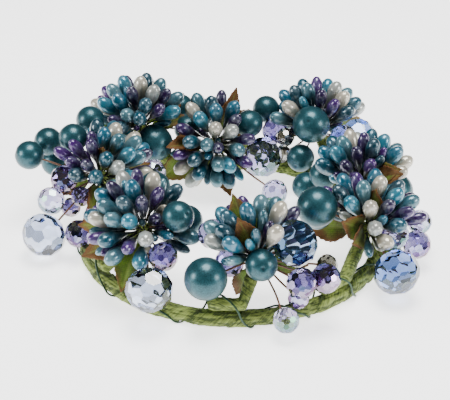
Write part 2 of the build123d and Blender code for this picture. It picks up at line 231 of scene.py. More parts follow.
def mesh_of(name, bm):
    """Makes a mesh of a bmesh and frees the bmesh."""
    mesh = bpy.data.meshes.new(name)
    bm.to_mesh(mesh)
    bm.free()
    return mesh


def piece(name, bm, finish, node, smooth=True):
    """Makes an object with its finish or finishes and its slot, in place of its node if it has any."""
    for face in bm.faces:
        face.smooth = smooth
    made = bpy.data.objects.new(name, mesh_of(name, bm))
    bpy.context.scene.collection.objects.link(made)
    for one in finish if isinstance(finish, list) else [finish]:
        made.data.materials.append(one)
    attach(made, "root")
    if node:
        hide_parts(node)
    return made


def close_spin(bm):
    """Merges the seam and the poles that a full spin leaves, and turns the faces outwards."""
    bmesh.ops.remove_doubles(bm, verts=bm.verts[:], dist=SEAM)
    bmesh.ops.recalc_face_normals(bm, faces=bm.faces[:])


def lathe(profile, steps):
    """A closed shape spun round Z from a profile of (radius, height), as a mesh."""
    bm = bmesh.new()
    line = [bm.verts.new((radius, 0, height)) for radius, height in profile]
    edges = [bm.edges.new(pair) for pair in zip(line, line[1:])]
    bmesh.ops.spin(
        bm, geom=line + edges, axis=(0, 0, 1), cent=(0, 0, 0), angle=math.tau, steps=steps, use_merge=True
    )
    close_spin(bm)
    return mesh_of("lathe", bm)


def add_mesh(bm, mesh, matrix):
    """Moves a mesh by a matrix into a bmesh, and gives back its vertices there."""
    first = len(bm.verts)
    bm.from_mesh(mesh)
    bpy.data.meshes.remove(mesh)
    bm.verts.ensure_lookup_table()
    fresh = bm.verts[first:]
    bmesh.ops.transform(bm, matrix=matrix, verts=fresh)
    return fresh


def wires(name, lines, radius, steps):
    """Round wires that pass smoothly through each line's points, in some steps to each, as a bmesh."""
    curve = bpy.data.curves.new(name, "CURVE")
    curve.dimensions = "3D"
    curve.bevel_depth = radius
    curve.bevel_resolution = 2
    curve.use_fill_caps = True
    curve.resolution_u = steps
    for line in lines:
        spline = curve.splines.new("BEZIER")
        spline.bezier_points.add(len(line) - 1)
        for point, place in zip(spline.bezier_points, line):
            point.co = place
            point.handle_left_type = "AUTO"
            point.handle_right_type = "AUTO"
    helper = bpy.data.objects.new(name, curve)
    bpy.context.scene.collection.objects.link(helper)
    bpy.context.view_layer.update()
    mesh = bpy.data.meshes.new_from_object(helper.evaluated_get(bpy.context.evaluated_depsgraph_get()))
    bpy.data.objects.remove(helper)
    bpy.data.curves.remove(curve)
    bm = bmesh.new()
    add_mesh(bm, mesh, Matrix())
    return bm


# Finishes

def add_node(tree, kind, **wants):
    """Adds a shader node. Each want is one of its properties, or else an input, which is called by a low line
    and its number, or by its name with low lines for spaces. An input gets a value, or a link to a socket or
    to the first output in use of a node."""
    node = tree.nodes.new("ShaderNode" + kind)
    for name in [name for name in wants if hasattr(node, name)]:
        setattr(node, name, wants.pop(name))
    for name, want in wants.items():
        socket = node.inputs[int(name[1:])] if name[0] == "_" else node.inputs[name.replace("_", " ")]
        if isinstance(want, bpy.types.Node):
            want = next(output for output in want.outputs if output.enabled)
        if isinstance(want, bpy.types.NodeSocket):
            tree.links.new(want, socket)
        else:
            socket.default_value = want
    return node


def new_finish(name):
    """A material and its empty tree."""
    made = bpy.data.materials.new(name)
    made.use_nodes = True
    made.node_tree.nodes.clear()
    return made, made.node_tree


def per_metre(size):
    """A pattern's scale from its size."""
    return 1.0 / size


# Crepe paper: its blotches of dye, and the spacing, length, height and slant of its crinkles
DYE_BLOTCH = 6 * MM
CRINKLE_GAP = 0.75 * MM
CRINKLE_LENGTH = 7 * MM
CRINKLE_HEIGHT = 0.8 * MM
CRINKLE_SLANT = math.radians(38)


def crepe_paper(colours, name):
    """Crinkled crepe paper: matt and fibrous, crinkled across the strip, with painted shade in its creases.
    """
    made, tree = new_finish(name)
    where = add_node(tree, "TexCoord")
    fold_shade = add_node(tree, "Attribute", attribute_name="crease").outputs["Fac"]
    blotch = add_node(tree, "TexNoise", Vector=where.outputs["Object"], Scale=per_metre(DYE_BLOTCH),
                      Detail=4.0)
    slant = add_node(tree, "Mapping", Vector=where.outputs["UV"], Rotation=(0, 0, CRINKLE_SLANT))
    thin = add_node(tree, "Mapping", Vector=slant,
                    Scale=(per_metre(CRINKLE_GAP), per_metre(CRINKLE_LENGTH), 1))
    crinkle = add_node(tree, "TexNoise", noise_dimensions="2D", Vector=thin, Scale=1.0, Detail=4.0,
                       Roughness=0.6, Distortion=0.35)
    # painted shade: darker in the paper's creases, by the wrap's strip edges and between its crinkles
    depth = add_node(tree, "Math", operation="MULTIPLY_ADD", _0=blotch, _1=0.35, _2=fold_shade)
    hollow_shade = add_node(tree, "MapRange", Value=crinkle, From_Min=0.35, From_Max=0.62, To_Min=0.7, To_Max=0.0)
    grain = add_node(tree, "Math", operation="ADD", _0=hollow_shade, _1=depth)
    shade = add_node(tree, "MapRange", Value=grain, From_Min=0.2, From_Max=1.15)
    dye = add_node(tree, "Mix", data_type="RGBA", _0=shade, _6=colours.paper, _7=colours.paper_painted_shade)
    bump = add_node(tree, "Bump", Height=crinkle, Distance=CRINKLE_HEIGHT, Strength=1.0)
    shader = add_node(tree, "BsdfPrincipled", Base_Color=dye, Roughness=0.8, Sheen_Weight=0.1, Normal=bump)
    add_node(tree, "OutputMaterial", Surface=shader)
    return made


WIRE_SCUFF = 1.2 * MM


def lacquered_wire(name, base, rough):
    """Wire drawn thin and lacquered or covered: a dull gloss with small scuffs, where it is paler."""
    made, tree = new_finish(name)
    where = add_node(tree, "TexCoord").outputs["Object"]
    scuff = add_node(tree, "TexNoise", Vector=where, Scale=per_metre(WIRE_SCUFF), Detail=3.0)
    worn = add_node(tree, "MapRange", Value=scuff, From_Min=0.45, From_Max=0.75, To_Max=0.35)
    pale = tuple(min(1.0, 2.2 * share + 0.03) for share in base[:3]) + (1.0,)
    tone = add_node(tree, "Mix", data_type="RGBA", _0=worn, _6=base, _7=pale)
    gloss = add_node(tree, "MapRange", Value=scuff, To_Min=rough - 0.1, To_Max=rough + 0.15)
    shader = add_node(tree, "BsdfPrincipled", Base_Color=tone, Metallic=0.2, Roughness=gloss)
    add_node(tree, "OutputMaterial", Surface=shader)
    return made


DRAW_MARK = 0.5 * MM


def drawn_steel():
    """Drawn steel wire of the hoop: plain bright metal with draw marks, hidden inside the paper."""
    made, tree = new_finish("drawn steel wire")
    where = add_node(tree, "TexCoord").outputs["Object"]
    marks = add_node(tree, "TexNoise", Vector=where, Scale=per_metre(DRAW_MARK))
    tone = add_node(tree, "Mix", data_type="RGBA", _0=marks, _6=linear("#8C8A86"), _7=linear("#B4B2AE"))
    shader = add_node(tree, "BsdfPrincipled", Base_Color=tone, Metallic=1.0, Roughness=0.35)
    add_node(tree, "OutputMaterial", Surface=shader)
    return made


# Pearlised lacquer on the beads. Its flecks of a quarter of a millimetre are drawn at about twice that
# size, so that they show. Its clouds are broad.
PEARL_FLECK = 0.55 * MM
PEARL_CLOUD = 9 * MM
FLECK_HEIGHT = 0.03 * MM


def pearl_coat(colours):
    """Pearlised lacquer on a moulded bead: satin, with soft highlights and flecks of lighter pigment."""
    made, tree = new_finish("pearlised teal lacquer")
    where = add_node(tree, "TexCoord").outputs["Object"]
    hole = add_node(tree, "Attribute", attribute_name="hole").outputs["Fac"]
    fleck = add_node(tree, "TexNoise", Vector=where, Scale=per_metre(PEARL_FLECK), Detail=2.0, Roughness=0.6)
    cloud = add_node(tree, "TexNoise", Vector=where, Scale=per_metre(PEARL_CLOUD), Detail=2.0)
    both = add_node(tree, "Math", operation="MULTIPLY_ADD", _0=cloud, _1=0.4, _2=fleck)
    lighter = add_node(tree, "MapRange", Value=both, From_Min=0.45, From_Max=1.0, To_Max=0.55)
    tone = add_node(tree, "Mix", data_type="RGBA", _0=lighter, _6=colours.pearl, _7=colours.pearl_light)
    # painted shade: the pearl's hole is painted a dark teal
    with_hole_shade = add_node(tree, "Mix", data_type="RGBA", _0=hole, _6=tone, _7=linear("#0B2A33"))
    bump = add_node(tree, "Bump", Height=fleck, Distance=FLECK_HEIGHT, Strength=0.5)
    shader = add_node(tree, "BsdfPrincipled", Base_Color=with_hole_shade, Metallic=0.55, Roughness=0.38,
                      Coat_Weight=0.35, Coat_Roughness=0.22, Normal=bump)
    add_node(tree, "OutputMaterial", Surface=shader)
    return made


# Pearlised lacquer on the stamens: the size and the height of its swirls
STAMEN_SWIRL = 2.2 * MM
SWIRL_HEIGHT = 0.1 * MM


def stamen_coat(name):
    """Pearlised lacquer on a dipped stamen: glossier than the beads, with swirls where the dip ran."""
    made, tree = new_finish(name)
    where = add_node(tree, "TexCoord").outputs["Object"]
    tint = add_node(tree, "Attribute", attribute_name="tint").outputs["Color"]
    swirl = add_node(tree, "TexNoise", Vector=where, Scale=per_metre(STAMEN_SWIRL), Detail=3.0,
                     Distortion=0.6)
    pale = add_node(tree, "Mix", data_type="RGBA", _0=0.3, _6=tint, _7=linear("#C8DCE2"))
    lighter = add_node(tree, "MapRange", Value=swirl, From_Min=0.42, From_Max=0.75, To_Max=0.6)
    tone = add_node(tree, "Mix", data_type="RGBA", _0=lighter, _6=tint, _7=pale)
    bump = add_node(tree, "Bump", Height=swirl, Distance=SWIRL_HEIGHT, Strength=0.3)
    shader = add_node(tree, "BsdfPrincipled", Base_Color=tone, Metallic=0.35, Roughness=0.28,
                      Coat_Weight=0.6, Coat_Roughness=0.08, Normal=bump)
    add_node(tree, "OutputMaterial", Surface=shader)
    return made


# Each kind of cut acrylic: its facets' colour, its depth's colour, how fast that depth takes up light (per
# metre), its coating's thickness (nanometres), how much that coating mirrors, and the share of its facets
# that are painted dark, as painted reflection
ACRYLICS = {
    "clear": ("#DCD8FA", "#B8BCE6", 50.0, 380.0, 0.15, 0.14),
    "lilac": ("#A294EC", "#978FCB", 170.0, 330.0, 0.2, 0.22),
    "violet": ("#8A78D8", "#7F76B4", 200.0, 300.0, 0.25, 0.18),
    "smoky": ("#B8B49A", "#8E8A78", 300.0, 0.0, 0.2, 0.22),
    "pale blue": ("#EEF4FE", "#4A98EA", 28.0, 0.0, 0.08, 0.05),
    "blue": ("#A8CCF6", "#4A96E6", 74.0, 0.0, 0.1, 0.08),
    "deep blue": ("#7CBCEE", "#4488BE", 58.0, 0.0, 0.12, 0.0),
}


def cut_acrylic(name, shine, code, density, film, mirror, painted_dark_share):
    """Facet-cut acrylic: clear and sharp, tinted in its depth, so facets that pass light on look deeper."""
    made, tree = new_finish(name)
    # painted reflection: each facet gets its own painted tint, clear to tinted, and some are painted dark
    facet = add_node(tree, "Attribute", attribute_name="facet").outputs["Fac"]
    tinted = add_node(tree, "Mix", data_type="RGBA", _0=facet, _6=linear("#FFFFFF"), _7=linear(shine))
    flash = add_node(tree, "MapRange", Value=facet, From_Min=1 - painted_dark_share, From_Max=1.01 - painted_dark_share,
                     To_Min=1.0, To_Max=0.22)
    tone = add_node(tree, "VectorMath", operation="SCALE", _0=tinted, Scale=flash)
    shader = add_node(tree, "BsdfPrincipled", Base_Color=tone, Roughness=0.0, IOR=1.55,
                      Transmission_Weight=1.0, Thin_Film_Thickness=film, Thin_Film_IOR=1.8, Metallic=mirror)
    depth = add_node(tree, "VolumeAbsorption", Color=linear(code), Density=density)
    add_node(tree, "OutputMaterial", Surface=shader, Volume=depth)
    return made


# Leaf cloth: its clouds of print, its flecks of worn print and how high its threads stand. A wave texture
# of scale 1 has 20 radians to the metre.
PRINT_CLOUD = 7 * MM
PRINT_FLECK = 0.6 * MM
THREAD_HEIGHT = 0.06 * MM
WAVE_RADIANS = 20
# What a leaf's corners carry: their share of the blade's length, how near they are to its edge, whether
# they lie on a vein, and how far autumn has gone on the leaf
LEAF_LAYERS = ("along", "edge", "vein", "autumn")


def leaf_cloth(colours, sizes):
    """Stiffened woven cloth, printed green and rust: matt, with threads, pressed veins and worn print."""
    made, tree = new_finish("printed stiff leaf cloth")
    where = add_node(tree, "TexCoord")
    along, edge, vein, autumn = (
        add_node(tree, "Attribute", attribute_name=name).outputs["Fac"] for name in LEAF_LAYERS
    )
    cloud = add_node(tree, "TexNoise", Vector=where.outputs["Object"], Scale=per_metre(PRINT_CLOUD),
                     Detail=3.0)
    speck = add_node(tree, "TexNoise", Vector=where.outputs["Object"], Scale=per_metre(PRINT_FLECK),
                     Detail=2.0)
    greens = add_node(tree, "MapRange", Value=cloud, From_Min=0.35, From_Max=0.65)
    base = add_node(tree, "Mix", data_type="RGBA", _0=greens, _6=colours.leaf, _7=colours.leaf_dark)
    # rust spreads from the tip and the edges, in clouds, and further on some leaves
    turning = add_node(tree, "Math", operation="ADD", _0=along, _1=autumn)
    rim = add_node(tree, "Math", operation="MULTIPLY_ADD", _0=edge, _1=0.45, _2=turning)
    drift = add_node(tree, "Math", operation="MULTIPLY_ADD", _0=cloud, _1=0.9, _2=rim)
    rust = add_node(tree, "MapRange", Value=drift, From_Min=1.05, From_Max=1.55)
    turned = add_node(tree, "Mix", data_type="RGBA", _0=rust, _6=base, _7=colours.leaf_rust)
    # threads a third of a millimetre apart are drawn 0.8 mm apart, so that they show
    thread_scale = math.tau / WAVE_RADIANS * per_metre(sizes.weave)
    warp, weft = (
        add_node(tree, "TexWave", Vector=where.outputs["UV"], bands_direction=way,
                 Scale=thread_scale).outputs["Fac"]
        for way in ("X", "Y")
    )
    threads = add_node(tree, "Math", operation="MULTIPLY", _0=warp, _1=weft)
    worn = add_node(tree, "MapRange", Value=speck, From_Min=0.3, From_Max=0.7, To_Min=0.62, To_Max=1.05)
    woven = add_node(tree, "Math", operation="MULTIPLY_ADD", _0=threads, _1=0.45, _2=worn)
    printed = add_node(tree, "VectorMath", operation="SCALE", _0=turned, Scale=woven)
    veined = add_node(tree, "Mix", data_type="RGBA", _0=vein, _6=printed, _7=linear("#7C8638"))
    bump = add_node(tree, "Bump", Height=threads, Distance=THREAD_HEIGHT, Strength=0.7)
    shader = add_node(tree, "BsdfPrincipled", Base_Color=veined, Roughness=0.7, Sheen_Weight=0.05,
                      Normal=bump)
    add_node(tree, "OutputMaterial", Surface=shader)
    return made


BACKDROP_BLOTCH = 40 * MM


def white_paper():
    """Matt white backdrop paper, lit so brightly that it shows no grain, only a soft shadow."""
    made, tree = new_finish("white paper backdrop")
    where = add_node(tree, "TexCoord").outputs["Object"]
    tooth = add_node(tree, "TexNoise", Vector=where, Scale=per_metre(BACKDROP_BLOTCH))
    tone = add_node(tree, "Mix", data_type="RGBA", _0=tooth, _6=linear("#FAFAFA"), _7=linear("#FFFFFF"))
    shader = add_node(tree, "BsdfPrincipled", Base_Color=tone, Roughness=0.7,
                      Emission_Color=linear("#FFFFFF"), Emission_Strength=2.0)
    add_node(tree, "OutputMaterial", Surface=shader)
    return made


# The hoop

class CANDLERING_OT_hoop(bpy.types.Operator):
    """Finish the steel hoop inside the paper"""
    bl_idname = "candlering.hoop"
    bl_label = "Hoop wire"

    def execute(self, context):
        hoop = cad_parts["hoop_wire"]
        hoop.data.materials.clear()
        hoop.data.materials.append(drawn_steel())
        return {"FINISHED"}


# The CAD's wrap has a section of ten sides, so its highest face lies a little under its radius
CAD_SECTION_SIDES = 10


def hoop_measure():
    """The radius and the height of the hoop's middle line."""
    radius = bpy.context.scene.candle_ring_sizes.wrap_radius
    height = WRAP_HIGH[2] - radius * math.cos(math.pi / CAD_SECTION_SIDES)
    return (WRAP_HIGH[0] - WRAP_LOW[0]) / 2 - radius, height


def ring_place(point, hoop_radius, height):
    """A point's place in the hoop's own measure: angle round the ring, angle round the tube, and radius."""
    out = math.hypot(point.x, point.y) - hoop_radius
    up = point.z - height
    return math.atan2(point.y, point.x), math.atan2(up, out), math.hypot(out, up)


# The binding wire's points come LOOP_POINTS to a loop. It is drawn in to WIRE_SEAT over the paper, but not
# where its loop rises STEM_RISE past the wrap and the point lies CLIMB over the hoop's middle, because it
# goes over a stem there. A point lower than GROOVE_TOP of the wrap's radius is in a groove, whose corners
# lie at GROOVE_CORNER of that radius.
LOOP_POINTS = 8
WIRE_SEAT = 0.1 * MM
STEM_RISE = 2 * MM
CLIMB = 1 * MM
GROOVE_TOP = 0.3
GROOVE_CORNER = 0.8


def binding_line():
    """The binding wire's route, drawn in against the paper wherever it doesn't climb over a stem."""
    radius = bpy.context.scene.candle_ring_sizes.wrap_radius
    hoop_radius, height = hoop_measure()
    line = routes("binding_wire")[0]
    drawn = []
    for place, point in enumerate(line):
        first = place - place % LOOP_POINTS
        over_stem = max(one.z for one in line[first:first + LOOP_POINTS]) > WRAP_HIGH[2] + STEM_RISE
        around, section_angle, out = ring_place(point, hoop_radius, height)
        if out > radius + WIRE_SEAT and not (over_stem and point.z > height + CLIMB):
            out = radius + WIRE_SEAT
        fresh = bearing(around) * (hoop_radius + out * math.cos(section_angle))
        fresh.z = height + out * math.sin(section_angle)
        if point.z < GROOVE_TOP * radius:
            corner = math.copysign(GROOVE_CORNER * radius, math.cos(section_angle))
            fresh = bearing(around) * (hoop_radius + corner)
            fresh.z = point.z
        drawn.append(fresh)
    return drawn


# The paper wrap's steps round its section and round the hoop, and the parts that each stretch of wire is
# split into, to find how near the paper is to it
SECTION_STEPS = 48
HOOP_STEPS = 640
WIRE_PARTS = 8
# The strip's edge wanders by EDGE_WANDER of a turn, in bends as long as the hoop's radius over
# WANDER_NOISE. EDGE_SHADE and UNDER_SHADE are the shares of a turn that get painted shade beside the
# edge, on its high and its low side.
EDGE_WANDER = 0.06
WANDER_NOISE = 9
EDGE_SHADE = 0.05
UNDER_SHADE = 0.07
# The noises of the creases, the grain and the lumps: how fine they are per millimetre along the hoop and
# round the section, and the level that they are read at. The creases' level is the share of the turn.
CREASE_NOISE = (0.11, 0.75)
GRAIN_NOISE = (0.5, 1.6, 3)
LUMP_NOISE = (0.3, 0.4, 11)
# How steep the creases are, and how much of the crease depth the creases, the grain and the lumps each take
CREASE_STEEPNESS = 3.2
CREASE_SHARE = 0.75
GRAIN_SHARE = 0.35
LUMP_SHARE = 0.8
# The paper is pressed in by the wire, which sits WIRE_CLEAR over it. The dent reaches DENT_REACH from the
# wire's middle line, and beyond that the paper may rise at DENT_SLOPE.
WIRE_CLEAR = 0.04 * MM
DENT_REACH = 0.8 * MM
DENT_SLOPE = 0.4


def crease(value, steepness):
    """Makes a sharp line of a smooth noise, where it passes zero."""
    return 1 - min(1.0, abs(value) * steepness)


def paper_noise(along, across, lengthwise, crosswise, level):
    """Noise on the wrap, with its fineness per millimetre along the hoop and round the section."""
    return noise.noise(Vector((along.x * lengthwise + across.x * crosswise,
                               along.y * lengthwise + across.y * crosswise, level)))


def plain_wrap(radius, hoop_radius, height):
    """A smooth tube round the hoop, with a UV map in metres along the hoop and round the section."""
    bm = bmesh.new()
    section = bmesh.ops.create_circle(bm, segments=SECTION_STEPS, radius=radius)["verts"]
    turn = Matrix.Translation((hoop_radius, 0, height)) @ Matrix.Rotation(math.pi / 2, 4, "X")
    bmesh.ops.transform(bm, matrix=turn, verts=section)
    bmesh.ops.spin(bm, geom=bm.verts[:] + bm.edges[:], axis=(0, 0, 1), cent=(0, 0, 0), angle=math.tau,
                   steps=HOOP_STEPS, use_merge=True)
    close_spin(bm)
    strip = bm.loops.layers.uv.new("UVMap")
    for face in bm.faces:
        here = ring_place(face.calc_center_median(), hoop_radius, height)
        for loop in face.loops:
            there = ring_place(loop.vert.co, hoop_radius, height)
            # a corner past the seam counts on, so that no face runs back over the whole map
            turns = [round((ours - theirs) / math.tau) for ours, theirs in zip(here[:2], there[:2])]
            loop[strip].uv = ((there[0] + turns[0] * math.tau) * hoop_radius,
                              (there[1] + turns[1] * math.tau) * radius)
    return bm


class CANDLERING_OT_wrap(bpy.types.Operator):
    """Wind the crinkled paper strip round the hoop"""
    bl_idname = "candlering.wrap"
    bl_label = "Paper wrap"

    def execute(self, context):
        sizes = context.scene.candle_ring_sizes
        radius = sizes.wrap_radius
        hoop_radius, height = hoop_measure()
        wire = binding_line()
        near = kdtree.KDTree(WIRE_PARTS * len(wire))
        for place in range(len(wire) - 1):
            for part in range(WIRE_PARTS):
                near.insert(wire[place].lerp(wire[place + 1], part / WIRE_PARTS), WIRE_PARTS * place + part)
        near.balance()
        bm = plain_wrap(radius, hoop_radius, height)
        painted_shade_layer = bm.verts.layers.float.new("crease")
        for vertex in bm.verts:
            around, section_angle, _ = ring_place(vertex.co, hoop_radius, height)
            # the strip's edge runs as a helix, and each turn lies on the one before it
            share = (sizes.strip_turns * around / math.tau - section_angle / math.tau) % 1.0
            on_tube = Vector((math.cos(around), math.sin(around), section_angle / 3))
            step = (share + EDGE_WANDER * noise.noise(on_tube * WANDER_NOISE)) % 1.0
            along = bearing(around) * hoop_radius / MM
            across = bearing(section_angle) * radius / MM
            sharp = crease(paper_noise(along, across, *CREASE_NOISE, share), CREASE_STEEPNESS)
            fine = paper_noise(along, across, *GRAIN_NOISE)
            lump = paper_noise(along, across, *LUMP_NOISE)
            depth = sizes.crease_depth * (CREASE_SHARE * sharp ** 2 + GRAIN_SHARE * (0.5 + 0.5 * fine)
                                          + LUMP_SHARE * max(0.0, lump))
            lip = sizes.strip_ridge * (1 - step)
            out = radius - sizes.strip_ridge + lip - depth
            place, _, distance = near.find(vertex.co)
            wire_out = ring_place(place, hoop_radius, height)[2]
            out = min(out, wire_out - sizes.binding_radius - WIRE_CLEAR
                      + DENT_SLOPE * max(0.0, distance - DENT_REACH))
            centre = Vector((hoop_radius * math.cos(around), hoop_radius * math.sin(around), height))
            vertex.co = centre + bearing(around, section_angle) * out
            vertex.co.z = max(vertex.co.z, 0.0)
            # painted shade: the paper is painted darker in its creases and beside and under each strip edge
            shade = (1 - step / EDGE_SHADE) if step < 0.5 else (step - 1 + UNDER_SHADE) / UNDER_SHADE
            vertex[painted_shade_layer] = min(1.0, sharp ** 2 + 0.9 * max(0.0, shade))
        finish = crepe_paper(context.scene.candle_ring_colours, "sage crepe paper")
        piece("wound_crepe_paper", bm, finish, "paper_wrap")
        return {"FINISHED"}


BINDING_STEPS = 5
BINDING_ROUGHNESS = 0.32


class CANDLERING_OT_binding(bpy.types.Operator):
    """Draw the lacquered binding wire round the wrap and the stems"""
    bl_idname = "candlering.binding"
    bl_label = "Binding wire"

    def execute(self, context):
        radius = context.scene.candle_ring_sizes.binding_radius
        bm = wires("binding", [binding_line()], radius, BINDING_STEPS)
        for vertex in bm.verts:
            vertex.co.z = max(vertex.co.z, 0.0)
        colour_of_wire = context.scene.candle_ring_colours.binding
        finish = lacquered_wire("green lacquered wire", colour_of_wire, BINDING_ROUGHNESS)
        piece("green_binding_wire", bm, finish, "binding_wire")
        return {"FINISHED"}


# Each pick of a bead bows to the side by PICK_BOW of its length, and by BOW_AT_END of that nearer to its end
PICK_BOW = 0.03
BOW_AT_END = 0.6
PICK_STEPS = 4
PICK_ROUGHNESS = 0.55


class CANDLERING_OT_picks(bpy.types.Operator):
    """Bend the brown wires that carry the beads"""
    bl_idname = "candlering.picks"
    bl_label = "Pick wires"

    def execute(self, context):
        lines = []
        for number, line in enumerate(routes("pick_wires")):
            start, end = line[0], line[-1]
            along = end - start
            side = along.cross(UPRIGHT).normalized() * (1 if number % 2 else -1)
            bow = side * along.length * PICK_BOW
            lines.append([start, start + along / 3 + bow, start + along * 2 / 3 + bow * BOW_AT_END, end])
        bm = wires("picks", lines, context.scene.candle_ring_sizes.pick_radius, PICK_STEPS)
        finish = lacquered_wire("brown covered wire", context.scene.candle_ring_colours.pick, PICK_ROUGHNESS)
        piece("brown_pick_wires", bm, finish, "pick_wires")
        return {"FINISHED"}


# The stems

STEM_RADIUS = 2.8 * MM
# The longest edges that a stem's mesh keeps in its first cuts and in its last one
LONG_EDGE = 1.6 * MM
SHORT_EDGE = 0.9 * MM
# The tape stands this high over the CAD's surface between its creases, which lie about this far apart
TAPE_LIFT = 0.1 * MM
TAPE_CREASE_GAP = 1.6 * MM
TAPE_STEEPNESS = 3.0


def cut_edges(bm, longest, cuts):
    """Cuts every edge of a mesh that is longer than a length."""
    edges = [edge for edge in bm.edges if edge.calc_length() > longest]
    bmesh.ops.subdivide_edges(bm, edges=edges, cuts=cuts, use_grid_fill=True)


def map_tape(bm, start, end):
    """Gives a stem a UV map in metres: along it, and round it."""
    along = (end - start).normalized()
    side = along.orthogonal().normalized()
    over = along.cross(side)
    tape = bm.loops.layers.uv.new("UVMap")

    def turn_of(point):
        return math.atan2((point - start).dot(over), (point - start).dot(side))

    for face in bm.faces:
        middle_turn = turn_of(face.calc_center_median())
        for loop in face.loops:
            turn = turn_of(loop.vert.co)
            turn += round((middle_turn - turn) / math.tau) * math.tau
            loop[tape].uv = ((loop.vert.co - start).dot(along), turn * STEM_RADIUS)


class CANDLERING_OT_stems(bpy.types.Operator):
    """Wind crinkled tape round the stems"""
    bl_idname = "candlering.stems"
    bl_label = "Taped stems"

    def execute(self, context):
        crease_depth = context.scene.candle_ring_sizes.tape_crease
        finish = crepe_paper(context.scene.candle_ring_colours, "crinkled floral tape")
        for number in SPRAYS:
            node = f"spray_{number}_stem"
            bm = merged(node)
            bmesh.ops.triangulate(bm, faces=bm.faces[:])
            for _ in range(2):
                cut_edges(bm, LONG_EDGE, 1)
                bmesh.ops.triangulate(bm, faces=bm.faces[:])
            cut_edges(bm, SHORT_EDGE, 2)
            for _ in range(3):
                bmesh.ops.smooth_vert(bm, verts=bm.verts[:], factor=0.5, use_axis_x=True, use_axis_y=True,
                                      use_axis_z=True)
            bm.normal_update()
            tape_shade_layer = bm.verts.layers.float.new("crease")
            for vertex in bm.verts:
                sharp = crease(noise.noise(vertex.co / TAPE_CREASE_GAP), TAPE_STEEPNESS)
                vertex.co += vertex.normal * (TAPE_LIFT - crease_depth * sharp ** 2)
                # painted shade: the tape is painted darker in its creases
                vertex[tape_shade_layer] = 0.8 * sharp ** 2
            _, start, end = spans(node)[0]
            map_tape(bm, start, end)
            piece(f"taped_stem_{number}", bm, finish, node)
        return {"FINISHED"}


# The beads

def wire_ends():
    """Both ends of every pick wire, each with the direction that it points in."""
    ends = []
    for line in routes("pick_wires"):
        ends.append((line[0], (line[0] - line[-1]).normalized()))
        ends.append((line[-1], (line[-1] - line[0]).normalized()))
    return ends


def bead_radius(points, centre):
    """A bead's radius, but no more than the room that its place has inside the CAD box."""
    room = min(min(centre[axis] - CAD_BOX[0][axis], CAD_BOX[1][axis] - centre[axis]) for axis in range(3))
    return min(room, max((point - centre).length for point in points))


def on_wire(centre, ends):
    """A matrix that puts a bead at its centre with its hole along the wire that meets it."""
    along = min(ends, key=lambda end: (end[0] - centre).length)[1]
    return stand(centre, along, UPRIGHT)


PEARL_STEPS = (36, 24)
# The dimple round a pearl's hole, and the hole itself, which is painted dark as shade, as degrees from the
# pearl's pole
DIMPLE_EDGE = 12.0
HOLE_EDGE = 4


class CANDLERING_OT_pearls(bpy.types.Operator):
    """Mould the pearls, with a dimple round each hole"""
    bl_idname = "candlering.pearls"
    bl_label = "Pearls"

    def execute(self, context):
        dimple = context.scene.candle_ring_sizes.dimple
        finish = pearl_coat(context.scene.candle_ring_colours)
        ends = wire_ends()
        for number in SPRAYS:
            node = f"spray_{number}_pearls"
            bm = bmesh.new()
            hole = bm.verts.layers.float.new("hole")
            for points, _, _ in spans(node):
                centre = middle(points)
                radius = bead_radius(points, centre)
                made = bmesh.ops.create_uvsphere(bm, u_segments=PEARL_STEPS[0], v_segments=PEARL_STEPS[1],
                                                 radius=radius)["verts"]
                for vertex in made:
                    lean = math.degrees(vertex.co.angle(UPRIGHT))
                    lean = min(lean, 180 - lean)
                    vertex.co *= 1 - dimple / radius * max(0.0, 1 - lean / DIMPLE_EDGE)
                    # painted shade: marks the hole's mouth, which the lacquer paints dark
                    vertex[hole] = 1.0 if lean < HOLE_EDGE else 0.0
                bmesh.ops.transform(bm, matrix=on_wire(centre, ends), verts=made)
            piece(f"moulded_pearls_{number}", bm, finish, node)
        return {"FINISHED"}


def cut_stone(sides, tiers, radius):
    """A bead cut from a block. Each tier has its degrees up from level, share of the radius and turn."""
    bm = bmesh.new()
    bmesh.ops.create_cube(bm, size=2.4 * radius)
    for rise, share, turn in tiers:
        for place in range(1 if abs(rise) == 90 else sides):
            away = bearing((place + turn) * math.tau / sides, math.radians(rise))
            cut = bmesh.ops.bisect_plane(bm, geom=bm.verts[:] + bm.edges[:] + bm.faces[:], dist=ON_CUT,
                                         plane_co=away * radius * share, plane_no=away, clear_outer=True)
            edges = [part for part in cut["geom_cut"] if isinstance(part, bmesh.types.BMEdge)]
            bmesh.ops.holes_fill(bm, edges=edges, sides=0)
    bmesh.ops.recalc_face_normals(bm, faces=bm.faces[:])
    reach = max(vertex.co.length for vertex in bm.verts)
    bmesh.ops.scale(bm, vec=(radius / reach,) * 3, verts=bm.verts[:])
    return mesh_of("stone", bm)


# The three cuts: the facets round each, and its tiers, the flat ends first
LITTLE_CUT = (9, ((90, 0.97, 0), (-90, 0.97, 0), (0, 0.95, 0), (30, 0.955, 0.5), (-30, 0.955, 0.5),
                  (58, 0.96, 0), (-58, 0.96, 0)))
ROUND_CUT = (11, ((90, 0.985, 0), (-90, 0.985, 0), (0, 0.965, 0), (23, 0.968, 0.5), (-23, 0.968, 0.5),
                  (44, 0.968, 0), (-44, 0.968, 0), (65, 0.968, 0.5), (-65, 0.968, 0.5)))
LARGE_CUT = (9, ((90, 0.90, 0), (-90, 0.90, 0), (12, 0.95, 0), (-22, 0.96, 0.5), (44, 0.93, 0.5),
                 (-50, 0.94, 0), (68, 0.92, 0), (-72, 0.93, 0.5)))
# The least radius of a bead with the large cut, and of one with the round cut
LARGE_FROM = 6.5 * MM
ROUND_FROM = 4.4 * MM
